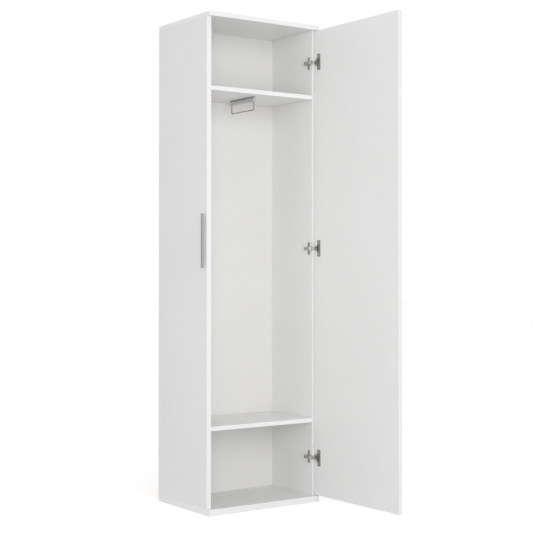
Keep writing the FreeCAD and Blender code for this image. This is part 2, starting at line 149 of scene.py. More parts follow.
def raw_chipboard():
    """Sawn chipboard: pale and dark flakes, rough to the touch."""
    finish = new_finish("raw_chipboard", {"Specular IOR Level": 0.2})
    chips = flakes(finish, chip_size)
    colour_by(finish, chips, chip_dark, chip_light)
    gloss_by(finish, chips, smooth=0.75, rough=0.95)
    relief_by(finish, chips, depth=0.0002)
    return finish


def new_piece(name, mesh, finishes):
    """Object of a mesh, with its corners shaded soft and its flat faces kept flat."""
    mesh.name = name
    mesh.shade_smooth()
    mesh.set_sharp_from_angle(angle=crease_angle)
    for finish in finishes:
        mesh.materials.append(finish)
    piece = bpy.data.objects.new(name, mesh)
    bpy.context.scene.collection.objects.link(piece)
    piece.modifiers.new("flat_faces", "WEIGHTED_NORMAL").keep_sharp = True
    return piece


def mesh_of(shape):
    """Mesh of a finished shape, with all its faces turned outwards."""
    bmesh.ops.recalc_face_normals(shape, faces=shape.faces)
    mesh = bpy.data.meshes.new("mesh")
    shape.to_mesh(mesh)
    shape.free()
    return mesh


def eased_block(low, high, radius, edge_directions=()):
    """Block between two corners with rounded edges. Faces towards each listed direction get the
    material numbers 1, 2 and so on, and the rest get 0."""
    shape = bmesh.new()
    bmesh.ops.create_cube(shape, size=1)
    place = Matrix.LocRotScale((low + high) / 2, None, high - low)
    bmesh.ops.transform(shape, matrix=place, verts=shape.verts)
    bmesh.ops.bevel(shape, geom=shape.edges[:], offset=radius, segments=3, profile=0.5, affect="EDGES")
    shape.normal_update()
    for face in shape.faces:
        for number, direction in enumerate(edge_directions, 1):
            if face.normal.dot(direction) > facing_share:
                face.material_index = number
    return mesh_of(shape)


def fitted(piece, body, slot, *nodes):
    """The piece moves with its body and stands for its nodes; the slot is not used."""
    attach(piece, body)
    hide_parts(*nodes)


foil, band, chips = melamine_foil(), edge_band(), raw_chipboard()
carcass_boards = {
    "side_panel_left": [to_front],
    "side_panel_right": [to_front],
    "top_panel": [to_front, to_left, to_right],
    "base_panel": [to_front, to_left, to_right],
}
for node, banded in carcass_boards.items():
    mesh = eased_block(*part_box(node), band_radius, [to_rear] + banded)
    board = new_piece(node + "_board", mesh, [foil, chips] + [band] * len(banded))
    fitted(board, "carcass", "white_board", node)

# Back panel: a thin hardboard sheet in grooves of the boards round it. Its front is lacquered white,
# and its back and edges are the bare brown fibre.
hardboard_radius = 0.0003
lacquer_white, lacquer_shade = (0.805, 0.803, 0.792), (0.785, 0.783, 0.772)
fibre_light, fibre_dark = (0.36, 0.235, 0.13), (0.22, 0.135, 0.07)
fibre_size, peel_size = 0.0016, 0.001


def white_lacquer():
    """Thin white lacquer with a faint orange peel."""
    finish = new_finish("white_lacquer", {"Specular IOR Level": 0.4})
    colour_by(finish, grain(finish, size=0.25), lacquer_shade, lacquer_white)
    peel = grain(finish, peel_size)
    gloss_by(finish, peel, smooth=0.45, rough=0.58)
    relief_by(finish, peel, depth=0.00002)
    return finish


def bare_fibre():
    """Brown pressed wood fibre."""
    finish = new_finish("bare_fibre", {"Specular IOR Level": 0.2})
    fibres = grain(finish, fibre_size, stretch=(1, 1, 0.35), detail=6)
    colour_by(finish, fibres, fibre_dark, fibre_light)
    gloss_by(finish, fibres, smooth=0.7, rough=0.9)
    relief_by(finish, fibres, depth=0.00008)
    return finish


mesh = eased_block(*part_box("back_panel"), hardboard_radius, [to_front])
sheet = new_piece("back_panel_sheet", mesh, [bare_fibre(), white_lacquer()])
fitted(sheet, "carcass", "white_back", "back_panel")

# Two shelves of the same faced chipboard, with a band on the front edge. Cam connectors hold the
# upper one, and the lower one lies loose on four pins.
for node in ("upper_shelf", "lower_shelf"):
    mesh = eased_block(*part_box(node), band_radius, [to_rear, to_left, to_right, to_front])
    board = new_piece(node + "_board", mesh, [foil, chips, chips, chips, band])
    fitted(board, "carcass", "white_board", node)

# Fasteners of the carcass: zinc-plated connecting screws, fluted beech dowels, and cams on steel bolts
# for the upper shelf. All of them sit inside the boards.
zinc_light, zinc_dark = (0.52, 0.53, 0.54), (0.38, 0.39, 0.41)
beech_light, beech_dark = (0.66, 0.47, 0.29), (0.50, 0.33, 0.18)


def zinc_plate():
    """Bluish zinc plating, a little cloudy."""
    finish = new_finish("zinc_plate", {"Metallic": 1})
    cloud = grain(finish, size=0.004)
    colour_by(finish, cloud, zinc_dark, zinc_light)
    gloss_by(finish, cloud, smooth=0.28, rough=0.42)
    relief_by(finish, grain(finish, size=0.0005), depth=0.00001)
    return finish


def beech():
    """Fluted beech with its grain along the dowel."""
    finish = new_finish("beech", {"Specular IOR Level": 0.3})
    flutes = grain(finish, size=0.0015, stretch=(1, 1, 0.08))
    colour_by(finish, flutes, beech_dark, beech_light)
    gloss_by(finish, flutes, smooth=0.55, rough=0.75)
    relief_by(finish, flutes, depth=0.0002)
    return finish


def finish_node(node, finish):
    """Give a node that keeps its own shape a finish."""
    for slot in frame["nodes"][node].material_slots:
        slot.material = finish


zinc = zinc_plate()
finish_node("carcass_dowels", beech())
for node in ("carcass_screws", "shelf_cams", "shelf_cam_bolts"):
    finish_node(node, zinc)

# Round caps of white moulded plastic: four on the top board over the connecting screws and four
# under the upper shelf over the cams. Each is pressed into the hole, with a shallow dome that shows.
cap_dome = 0.35
dimple_mouth, dimple_floor, dimple_depth = 0.45, 0.40, 0.4
same_point = 1e-6
plastic_light, plastic_dark = (0.86, 0.86, 0.85), (0.83, 0.83, 0.82)


def moulded_plastic(name, dark, light):
    """Moulded plastic with a fine spark-eroded skin."""
    finish = new_finish(name, {"Specular IOR Level": 0.5})
    colour_by(finish, grain(finish, size=0.02), dark, light)
    spark = grain(finish, size=0.0004)
    gloss_by(finish, spark, smooth=0.38, rough=0.50)
    relief_by(finish, spark, depth=0.00001)
    return finish


def solids_of(node, turned=Matrix.Identity(4)):
    """Lowest and highest corner of each separate solid of a node, in the frame it was turned from."""
    shape = bmesh.new()
    shape.from_mesh(frame["nodes"][node].data)
    bmesh.ops.transform(shape, matrix=turned.inverted(), verts=shape.verts)
    bmesh.ops.remove_doubles(shape, verts=shape.verts, dist=same_point)
    waiting, boxes = set(shape.verts), []
    while waiting:
        edge_of_solid, corners = [waiting.pop()], []
        while edge_of_solid:
            vert = edge_of_solid.pop()
            corners.append(vert.co.copy())
            near = {edge.other_vert(vert) for edge in vert.link_edges} & waiting
            waiting -= near
            edge_of_solid.extend(near)
        boxes.append((Vector(map(min, zip(*corners))), Vector(map(max, zip(*corners)))))
    shape.free()
    return sorted(boxes, key=lambda box: (round(box[0].z, 5), round(box[0].y, 5), round(box[0].x, 5)))


def turned_mesh(profile, segments=40):
    """A profile of (radius, height) points turned about the z axis."""
    shape = bmesh.new()
    rings = []
    for radius, height in profile:
        angles = [2 * math.pi * step / segments for step in range(segments if radius else 1)]
        points = [(radius * math.cos(angle), radius * math.sin(angle), height) for angle in angles]
        rings.append([shape.verts.new(point) for point in points])
    for lower, upper in zip(rings, rings[1:]):
        for step in range(segments):
            here, after = step, (step + 1) % segments
            corners = [lower[here % len(lower)], lower[after % len(lower)],
                       upper[after % len(upper)], upper[here % len(upper)]]
            shape.faces.new(dict.fromkeys(corners))
    return mesh_of(shape)


def standing(point, direction):
    """Place whose z axis points along a direction."""
    return Matrix.Translation(point) @ direction.to_track_quat("Z", "Y").to_matrix().to_4x4()


def joined(name, parts, finishes):
    """One piece from several (mesh, place) parts."""
    shape = bmesh.new()
    for mesh, place in parts:
        first = len(shape.verts)
        shape.from_mesh(mesh)
        shape.verts.ensure_lookup_table()
        bmesh.ops.transform(shape, matrix=place, verts=shape.verts[first:])
    return new_piece(name, mesh_of(shape), finishes)


def face_point(low, high, direction):
    """Middle of the side of a box that faces a direction."""
    half = (high - low) / 2
    return (low + high) / 2 + Vector(abs(part) * size * part for part, size in zip(direction, half))


def round_cap(low, high, direction):
    """Domed cap that fills a box, with its seat on the side away from the direction."""
    length = abs((high - low).dot(direction))
    radius = max(high - low) / 2
    dome = length * cap_dome
    arc = [math.radians(angle) for angle in range(0, 91, 15)]
    floor = length - dome * dimple_depth
    profile = [(0, 0), (radius, 0)]
    profile += [(radius - dome + dome * math.cos(a), length - dome + dome * math.sin(a)) for a in arc]
    profile += [(radius * dimple_mouth, length), (radius * dimple_floor, floor), (0, floor)]
    return turned_mesh(profile), standing(face_point(low, high, -direction), direction)


white_caps = moulded_plastic("white_moulding", plastic_dark, plastic_light)
for node, direction in (("top_screw_caps", upward), ("shelf_cam_caps", downward)):
    parts = [round_cap(low, high, direction) for low, high in solids_of(node)]
    fitted(joined(node + "_moulded", parts, [white_caps]), "carcass", "white_plastic", node)

# Shelf pins: nickel-plated steel pegs with a flat paddle, pushed into holes in the side panels.
# The lower shelf rests on their paddles.
pin_eased = 0.0003
nickel_light, nickel_dark = (0.61, 0.595, 0.57), (0.49, 0.475, 0.455)


def nickel_plate(name, dark, light):
    """Nickel plating over rolled steel."""
    finish = new_finish(name, {"Metallic": 1})
    colour_by(finish, grain(finish, size=0.006), dark, light)
    rolled = grain(finish, size=0.0008, stretch=(1, 0.15, 1))
    gloss_by(finish, rolled, smooth=0.24, rough=0.40)
    relief_by(finish, rolled, depth=0.000012)
    return finish


def eased_mesh(node, radius):
    """Shape of a node with its edges rounded a little, as pressing and plating leave them."""
    solid = frame["nodes"][node].data
    shape = bmesh.new()
    corners = [shape.verts.new(vert.co) for vert in solid.vertices]
    for face in solid.polygons:
        shape.faces.new([corners[index] for index in face.vertices])
    bmesh.ops.remove_doubles(shape, verts=shape.verts, dist=same_point)
    sharp = [edge for edge in shape.edges if edge.calc_face_angle() > crease_angle]
    bmesh.ops.bevel(shape, geom=sharp, offset=radius, segments=2, profile=0.5, affect="EDGES",
                    clamp_overlap=True)
    return mesh_of(shape)


nickel = nickel_plate("nickel_plate", nickel_dark, nickel_light)
pins = new_piece("shelf_pins_plated", eased_mesh("shelf_pins", pin_eased), [nickel])
fitted(pins, "carcass", "hinge_steel", "shelf_pins")

# Wall bracket against tipping: a zinc-plated steel angle, screwed to the top board's rear edge with
# two cross-head screws. Its upright leg has a hole for a screw into the wall.
bracket_sheet, bracket_corner, bracket_eased = 0.002, 0.006, 0.0003
wall_hole_radius, wall_hole_height = 0.00325, 0.019
bracket_head, bracket_shank = 0.0022, 0.002
head_skirt, dome_steps, dome_fullness = 0.25, 6, 3
recess_reach, recess_width, recess_hub, recess_floor, recess_top = 0.58, 0.13, 0.17, 0.1, 1.3


def rounded_outline(corners, steps=5):
    """Points of an outline through (x, y, radius) corners, with an arc of that radius at each."""
    points = []
    for index, (x, y, radius) in enumerate(corners):
        here = Vector((x, y))
        if not radius:
            points.append(here)
            continue
        before = (Vector(corners[index - 1][:2]) - here).normalized()
        after = (Vector(corners[(index + 1) % len(corners)][:2]) - here).normalized()
        half = before.angle(after) / 2
        center = here + (before + after).normalized() * (radius / math.sin(half))
        arm = here + before * (radius / math.tan(half)) - center
        side = 1 if before.x * after.y - before.y * after.x < 0 else -1
        for step in range(steps + 1):
            turn = Matrix.Rotation(side * (math.pi - 2 * half) * step / steps, 2)
            points.append(center + turn @ arm)
    return points


def circle_outline(x, y, radius, steps=32):
    """Points of a circle about a centre."""
    angles = [2 * math.pi * step / steps for step in range(steps)]
    return [Vector((x + radius * math.cos(angle), y + radius * math.sin(angle))) for angle in angles]


def pressed(outlines, thickness, eased):
    """Sheet of one outline, with holes as further outlines, its top on z = 0 and its edges eased."""
    curve = bpy.data.curves.new("outline", "CURVE")
    curve.dimensions = "2D"
    curve.fill_mode = "BOTH"
    curve.extrude = thickness / 2 - eased
    curve.bevel_depth = eased
    curve.bevel_resolution = 1
    curve.offset = -eased
    for points in outlines:
        spline = curve.splines.new("POLY")
        spline.points.add(len(points) - 1)
        for place, point in zip(spline.points, points):
            place.co = (point.x, point.y, 0, 1)
        spline.use_cyclic_u = True
    holder = bpy.data.objects.new("outline", curve)
    sheet = bpy.data.meshes.new_from_object(holder)
    bpy.data.objects.remove(holder)
    shape = bmesh.new()
    shape.from_mesh(sheet)
    bmesh.ops.remove_doubles(shape, verts=shape.verts, dist=same_point)
    bmesh.ops.translate(shape, vec=(0, 0, -thickness / 2), verts=shape.verts)
    return mesh_of(shape)


def cut_out(mesh, cutter):
    """The mesh with the cutter's shape taken out of it."""
    body, tool = [bpy.data.objects.new("cut", one) for one in (mesh, cutter)]
    for one in (body, tool):
        bpy.context.scene.collection.objects.link(one)
    cut = body.modifiers.new("cut", "BOOLEAN")
    cut.object = tool
    cut.solver = "EXACT"
    result = bpy.data.meshes.new_from_object(body.evaluated_get(bpy.context.evaluated_depsgraph_get()))
    for one in (body, tool):
        bpy.data.objects.remove(one)
    return result


def cross_screw(head_radius, head_height, shank_radius, length):
    """Screw with a domed head above z = 0, a cross recess in it and a pointed shank below."""
    point_end = -length + 2 * shank_radius
    profile = [(0, -length), (shank_radius, point_end), (shank_radius, 0), (head_radius, 0)]
    for share in [step / dome_steps for step in range(dome_steps + 1)]:
        height = head_height * (head_skirt + (1 - head_skirt) * share)
        profile.append((head_radius * (1 - share ** dome_fullness) ** 0.5, height))
    arm, slot, hub = [head_radius * share for share in (recess_reach, recess_width, recess_hub)]
    cross = [(hub, hub), (arm, slot), (arm, -slot), (hub, -hub), (slot, -arm), (-slot, -arm),
             (-hub, -hub), (-arm, -slot), (-arm, slot), (-hub, hub), (-slot, arm), (slot, arm)]
    recess = pressed([[Vector(point) for point in cross]], head_height * (recess_top - recess_floor), 0)
    recess.transform(Matrix.Translation((0, 0, head_height * recess_top)))
    return cut_out(turned_mesh(profile, segments=24), recess)


def cross_screws(node, direction, head_height, shank_radius, turned=Matrix.Identity(4)):
    """A screw in place of each solid of a node, with its head towards the direction."""
    parts = []
    for low, high in solids_of(node, turned):
        length = abs((high - low).dot(direction))
        head_radius = sorted(high - low)[1 if length > max(high - low) - same_point else 2] / 2
        screw = cross_screw(head_radius, head_height, shank_radius, length - head_height)
        seat = face_point(low, high, direction) - direction * head_height
        parts.append((screw, turned @ standing(seat, direction)))
    return parts


low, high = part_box("wall_bracket")
middle, reach = (low.x + high.x) / 2, high.y - low.y
half = (high.x - low.x) / 2
leg = rounded_outline([(-half, 0, 0), (half, 0, 0), (half, reach, bracket_corner),
                       (-half, reach, bracket_corner)])
rise_height = high.z - low.z
rise = rounded_outline([(-half, 0, 0), (half, 0, 0), (half, rise_height, bracket_corner),
                        (-half, rise_height, bracket_corner)])
hole = circle_outline(0, wall_hole_height, wall_hole_radius)
corner = Vector((middle, high.y, low.z))
leg_turn = Matrix.Rotation(math.pi, 4, "Z")
leg_place = Matrix.Translation(corner + upward * bracket_sheet) @ leg_turn
rise_turn = Matrix(((-1, 0, 0), (0, 0, 1), (0, 1, 0))).to_4x4()
rise_place = Matrix.Translation(corner) @ rise_turn
bracket = [(pressed([leg], bracket_sheet, bracket_eased), leg_place),
           (pressed([rise, hole], bracket_sheet, bracket_eased), rise_place)]
fitted(joined("wall_bracket_angle", bracket, [zinc]), "carcass", "zinc_steel", "wall_bracket")
screws = cross_screws("wall_bracket_screws", upward, bracket_head, bracket_shank)
fitted(joined("wall_bracket_cross_screws", screws, [zinc]), "carcass", "zinc_steel", "wall_bracket_screws")

# Pull-out hanger rail: a foot of folded steel is screwed under the upper shelf and carries a satin
# channel. The foot is coloured dark, as painted shade under the shelf. A runner with a plastic front
# cap slides in the channel, and a bent wire loop that things hang from is fixed to the runner.
rail_sheet, rail_bend, rail_slot = 0.0015, 0.0016, 0.005
rail_eased, runner_eased, cap_eased = 0.0002, 0.0008, 0.0016
foot_height, foot_inset = 0.005, 0.001
loop_corner = 0.004
rail_head, rail_shank = 0.0018, 0.0019
steel_light, steel_dark = (0.74, 0.74, 0.74), (0.62, 0.62, 0.625)
# Dark colours of the foot: painted shade along the top of the rail, under the shelf.
painted_shade_foot_light, painted_shade_foot_dark = (0.36, 0.36, 0.36), (0.28, 0.28, 0.285)
wire_light, wire_dark = (0.30, 0.30, 0.305), (0.22, 0.22, 0.225)
grey_light, grey_dark = (0.60, 0.60, 0.60), (0.55, 0.55, 0.555)


def drawn_steel(name, dark, light):
    """Steel with lines along the rail, as drawing leaves them."""
    finish = new_finish(name, {"Metallic": 1})
    drawn = grain(finish, size=0.0007, stretch=(1, 0.04, 1))
    colour_by(finish, drawn, dark, light)
    gloss_by(finish, drawn, smooth=0.26, rough=0.40)
    relief_by(finish, drawn, depth=0.00001)
    return finish


def numbered(mesh, number):
    """The mesh with one material number on all its faces."""
    for face in mesh.polygons:
        face.material_index = number
    return mesh


satin = drawn_steel("satin_steel", steel_dark, steel_light)
# The foot's dark steel paints the shade under the shelf.
painted_shade_foot_steel = drawn_steel("painted_shade_foot_steel", painted_shade_foot_dark, painted_shade_foot_light)
low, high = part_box("rail_housing")
half, tall, long = (high.x - low.x) / 2, high.z - low.z, high.y - low.y
inner, lip, shoulder = half - rail_sheet, rail_slot / 2, tall - foot_height
channel = rounded_outline([
    (lip, 0, 0), (half, 0, rail_bend), (half, shoulder, rail_bend),
    (inner, shoulder, 0), (inner, rail_sheet, 0), (lip, rail_sheet, 0)])
other_wall = [Vector((-point.x, point.y)) for point in channel]
foot_half = half - foot_inset
foot_inner, ceiling = foot_half - rail_sheet, tall - rail_sheet
foot = rounded_outline([
    (foot_half, shoulder, 0), (foot_half, tall, 0), (-foot_half, tall, 0), (-foot_half, shoulder, 0),
    (-foot_inner, shoulder, 0), (-foot_inner, ceiling, 0),
    (foot_inner, ceiling, 0), (foot_inner, shoulder, 0)])
middle = (low.x + high.x) / 2
channel_place = Matrix.Translation((middle, low.y, low.z)) @ Matrix.Rotation(math.pi / 2, 4, "X")
end_low = Vector((low.x + rail_sheet, high.y - rail_sheet, low.z + rail_sheet))
end_high = Vector((high.x - rail_sheet, high.y, low.z + shoulder))
housing = [(pressed([wall], long, rail_eased), channel_place) for wall in (channel, other_wall)]
housing.append((eased_block(end_low, end_high, rail_eased), Matrix.Identity(4)))
housing.append((numbered(pressed([foot], long, rail_eased), 1), channel_place))
fitted(joined("rail_channel", housing, [satin, painted_shade_foot_steel]), "carcass", "rail_steel", "rail_housing")
screws = cross_screws("rail_screws", downward, rail_head, rail_shank)
fitted(joined("rail_cross_screws", screws, [zinc]), "carcass", "zinc_steel", "rail_screws")
mesh = eased_block(*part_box("rail_runner"), runner_eased)
fitted(new_piece("rail_runner_bar", mesh, [satin]), "hanger_rail", "rail_steel", "rail_runner")
mesh = eased_block(*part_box("rail_front_cap"), cap_eased)
cap = new_piece("rail_front_cap_moulded", mesh, [moulded_plastic("grey_moulding", grey_dark, grey_light)])
fitted(cap, "hanger_rail", "grey_plastic", "rail_front_cap")
low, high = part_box("rail_wire_loop")
wire_radius = (high.x - low.x) / 2
front_y, rear_y, bottom = low.y + wire_radius, high.y - wire_radius, low.z + wire_radius
bend = [(front_y, high.z, 0), (front_y, bottom, loop_corner),
        (rear_y, bottom, loop_corner), (rear_y, high.z, 0)]
wire = bpy.data.curves.new("wire", "CURVE")
wire.dimensions = "3D"
wire.bevel_depth = wire_radius
wire.bevel_resolution = 4
wire.use_fill_caps = True
path = rounded_outline(bend, steps=8)
spline = wire.splines.new("POLY")
spline.points.add(len(path) - 1)
for place, point in zip(spline.points, path):
    place.co = ((low.x + high.x) / 2, point.x, point.y, 1)
holder = bpy.data.objects.new("wire", wire)
wire_steel = drawn_steel("wire_steel", wire_dark, wire_light)
loop = new_piece("rail_wire_bent", bpy.data.meshes.new_from_object(holder), [wire_steel])
bpy.data.objects.remove(holder)
fitted(loop, "hanger_rail", "rail_steel", "rail_wire_loop")

# Side handle: a slim metal bar with a satin silver lacquer, on two slim moulded posts. The posts' pale
# grey is painted shade, the tone of the gap behind the bar. Screws from inside the left side panel go
# through the posts into the bar.
bar_radius = 0.0015
post_foot, post_flare, post_neck = 0.0006, 0.0012, 0.0021
handle_head, handle_shank = 0.0024, 0.002
silver_light, silver_dark = (0.385, 0.385, 0.385), (0.335, 0.335, 0.34)
# Pale grey of the posts: painted shade, the tone of the gap behind the bar.
shade_toned_post_light, shade_toned_post_dark = (0.70, 0.70, 0.695), (0.66, 0.66, 0.655)


def silver_lacquer():
    """Satin silver lacquer over brushed metal."""
    finish = new_finish("silver_lacquer", {"Metallic": 0.25, "Specular IOR Level": 0.4})
    brushed = grain(finish, size=0.0006, stretch=(1, 1, 0.02))
    colour_by(finish, brushed, silver_dark, silver_light)
    gloss_by(finish, brushed, smooth=0.46, rough=0.58)
    relief_by(finish, brushed, depth=0.00001)
    return finish


def handle_post(low, high, direction):
    """Round post with a foot at each end and a slimmer neck."""
    length = abs((high - low).dot(direction))
    radius = (high.z - low.z) / 2
    profile = [(0, 0), (radius, 0), (radius, post_foot), (post_neck, post_flare),
               (post_neck, length - post_flare), (radius, length - post_foot),
               (radius, length), (0, length)]
    return turned_mesh(profile), standing(face_point(low, high, -direction), direction)


silver = silver_lacquer()
mesh = eased_block(*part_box("side_handle_bar"), bar_radius)
fitted(new_piece("side_handle_lacquered_bar", mesh, [silver]), "carcass", "handle_metal", "side_handle_bar")
posts = [handle_post(low, high, to_left) for low, high in solids_of("side_handle_posts")]
# The posts take the shade-toned grey plastic: painted shade.
shade_toned_post_plastic = moulded_plastic("shade_toned_post_moulding", shade_toned_post_dark, shade_toned_post_light)
post_pair = joined("side_handle_moulded_posts", posts, [shade_toned_post_plastic])
fitted(post_pair, "carcass", "white_plastic", "side_handle_posts")
screws = cross_screws("side_handle_screws", to_right, handle_head, handle_shank)
fitted(joined("side_handle_cross_screws", screws, [zinc]), "carcass", "zinc_steel", "side_handle_screws")

# Door bumpers: small domes of milky clear soft plastic, stuck to the left side panel's front edge. The
# closing door meets them.
clear_light, clear_dark = (0.96, 0.96, 0.96), (0.93, 0.93, 0.93)


def clear_dome():
    """Milky clear plastic."""
    finish = new_finish("clear_dome", {"Transmission Weight": 0.05, "IOR": 1.45})
    cloud = grain(finish, size=0.003)
    colour_by(finish, cloud, clear_dark, clear_light)
    gloss_by(finish, cloud, smooth=0.25, rough=0.38)
    return finish


def bumper_dome(low, high, direction):
    """Half egg that fills a box, with its flat side away from the direction."""
    length = abs((high - low).dot(direction))
    radius = max(high - low) / 2
    arc = [math.radians(angle) for angle in range(0, 91, 10)]
    profile = [(0, 0)] + [(radius * math.cos(a), length * math.sin(a)) for a in arc]
    profile[-1] = (0, length)
    return turned_mesh(profile), standing(face_point(low, high, -direction), direction)


domes = [bumper_dome(low, high, to_front) for low, high in solids_of("door_bumpers")]
fitted(joined("door_bumper_domes", domes, [clear_dome()]), "carcass", "clear_bumper", "door_bumpers")

# Hinge plates, arms and links on the right side panel: nickel-plated pressings. A cross plate is screwed
# to the panel, and a channel-shaped arm sits on it, held by a dark screw at the rear and a bright
# one in its slot. The arm's nose carries the pin of the link, which reaches into the cup.
joints = {joint["name"]: joint for joint in frame["joints"]}
hinge_names = ("bottom", "middle", "top")
wing_sheet, wing_corner, wing_width = 0.0016, 0.0035, 0.010
seat_play, seat_eased = 0.0005, 0.0005
arm_sheet, arm_eased, arm_corner = 0.0012, 0.0003, 0.002
taper_behind_edge, nose_radius, slope_share = 0.002, 0.0021, 0.7
fork_width, fork_depth = 0.0046, 0.0105
slot_front, slot_length, slot_width, slot_rounding = 0.0035, 0.010, 0.0042, 0.9
plate_head, plate_shank = 0.002, 0.0019
adjust_head, adjust_shank = 0.0018, 0.002
link_root, link_tip, link_sheet, link_web = 0.0021, 0.0014, 0.0012, (0.24, 0.80)
pivot_radius, pivot_reach = 0.0013, 0.0065
rivet_crown, rivet_rise, rivet_dome = 0.7, 0.0001, 0.0004
# Darker nickel of the plates; on the cup linings the same colours are painted shade.
plate_and_lining_shade_light, plate_and_lining_shade_dark = (0.37, 0.355, 0.34), (0.28, 0.27, 0.255)
black_light, black_dark = (0.16, 0.155, 0.15), (0.09, 0.088, 0.085)
nose = Vector(joints["link_pivot"]["pos_m"])
hinge_axis = Vector(joints["door_hinge"]["pos_m"])
open_angle = math.radians(-joints["door_hinge"]["range_deg"][0])
panel_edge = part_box("side_panel_right")[0].y
taper_y = panel_edge + taper_behind_edge
plate_screw_boxes = solids_of("hinge_plate_screws")
across_x = Matrix(((0, 0, -1), (-1, 0, 0), (0, 1, 0))).to_4x4()


def plate_pressing(name):
    """Cross plate: a flat wing with the screws, and the raised seat of the arm."""
    low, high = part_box("hinge_plate_" + name)
    screws = [box for box in plate_screw_boxes if low.z < box[0].z < high.z]
    middle_y = (screws[0][0].y + screws[0][1].y) / 2
    middle_z = (low.z + high.z) / 2
    wing_half, tall = wing_width / 2, (high.z - low.z) / 2
    wing = rounded_outline([(-wing_half, -tall, wing_corner), (wing_half, -tall, wing_corner),
                            (wing_half, tall, wing_corner), (-wing_half, tall, wing_corner)])
    wing_place = Matrix.Translation((high.x - wing_sheet, middle_y, middle_z)) @ across_x
    arm_low, arm_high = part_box("hinge_arm_" + name)
    seat_half = (arm_high.z - arm_low.z) / 2 - arm_sheet - seat_play
    seat_low, seat_high = Vector(low), Vector(high)
    seat_low.z, seat_high.z = middle_z - seat_half, middle_z + seat_half
    return [(pressed([wing], wing_sheet, arm_eased), wing_place),
            (eased_block(seat_low, seat_high, seat_eased), Matrix.Identity(4))]


def arm_pressing(name):
    """Channel arm: a web with a fork at the rear and a slot, two cheeks and a sloped nose."""
    low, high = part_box("hinge_arm_" + name)
    middle_z, half = (low.z + high.z) / 2, (high.z - low.z) / 2
    flat, fork = high.y - taper_y, fork_width / 2
    fork_bend = fork * slot_rounding
    web = rounded_outline([(0, -half, arm_corner), (flat, -half, 0), (flat, half, 0), (0, half, arm_corner),
                           (0, fork, 0), (fork_depth, fork, fork_bend), (fork_depth, -fork, fork_bend),
                           (0, -fork, 0)])
    slot_end, slot_half = flat - slot_front, slot_width / 2
    slot_start, slot_bend = slot_end - slot_length, slot_half * slot_rounding
    slot = rounded_outline([(slot_start, -slot_half, slot_bend), (slot_end, -slot_half, slot_bend),
                            (slot_end, slot_half, slot_bend), (slot_start, slot_half, slot_bend)])
    web_place = Matrix.Translation((low.x, high.y, middle_z)) @ across_x
    parts = [(pressed([web, slot], arm_sheet, arm_eased), web_place)]
    slope_end = Vector((nose.x - nose_radius, nose.y, 0))
    slope = slope_end - Vector((low.x, taper_y, 0))
    reach = slope.length * slope_share
    slope.normalize()
    ramp = rounded_outline([(0, -half, 0), (reach, -half, 0), (reach, half, 0), (0, half, 0)])
    turn = Matrix((slope, upward, slope.cross(upward))).transposed().to_4x4()
    ramp_place = Matrix.Translation((low.x, taper_y, middle_z)) @ turn
    parts.append((pressed([ramp], arm_sheet, arm_eased), ramp_place))
    cheek = rounded_outline([(high.x, taper_y, 0), (high.x, high.y, arm_corner),
                             (low.x, high.y, 0), (low.x, taper_y, 0)])
    tip = [Vector((nose.x - nose_radius * math.cos(a), nose.y - nose_radius * math.sin(a)))
           for a in [math.radians(angle) for angle in range(0, 181, 20)]]
    for top in (low.z + arm_sheet, high.z):
        parts.append((pressed([cheek + tip], arm_sheet, arm_eased), Matrix.Translation((0, 0, top))))
    return parts


def pivot_at(share):
    """Place of the cup's pivot with the door opened by a share of its half swing, closed being -1."""
    turn = math.atan2(nose.y - hinge_axis.y, nose.x - hinge_axis.x) + share * open_angle / 2
    out_x, out_y = pivot_reach * math.cos(turn), pivot_reach * math.sin(turn)
    return Vector((hinge_axis.x + out_x, hinge_axis.y + out_y, 0))


def link_pressing(name):
    """Link: two cheeks with an eye at each end, and a web between them."""
    low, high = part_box("hinge_link_" + name)
    root = Vector((nose.x, nose.y, 0))
    along = pivot_at(1) - root
    length = along.length
    along.normalize()
    round_end = [math.radians(angle) for angle in range(-90, 91, 20)]
    cheek = [Vector((-link_root * math.cos(a), -link_root * math.sin(a))) for a in round_end]
    cheek += [Vector((length + link_tip * math.cos(a), link_tip * math.sin(a))) for a in round_end]
    turn = Matrix((along, upward.cross(along), upward)).transposed().to_4x4()
    parts = [(pressed([cheek], link_sheet, arm_eased), Matrix.Translation(root + upward * top) @ turn)
             for top in (low.z + link_sheet, high.z)]
    web_low = Vector((length * link_web[0], -link_sheet / 2, low.z + link_sheet / 2))
    web_high = Vector((length * link_web[1], link_sheet / 2, high.z - link_sheet / 2))
    parts.append((eased_block(web_low, web_high, arm_eased), Matrix.Translation(root) @ turn))
    return parts


def rivet(low, high):
    """Pin with a low dome at each end."""
    length, radius = high.z - low.z, (high.x - low.x) / 2
    crown = radius * rivet_crown
    profile = [(0, 0), (crown, rivet_rise), (radius, rivet_dome), (radius, length - rivet_dome),
               (crown, length - rivet_rise), (0, length)]
    return turned_mesh(profile, segments=20), standing(face_point(low, high, downward), upward)


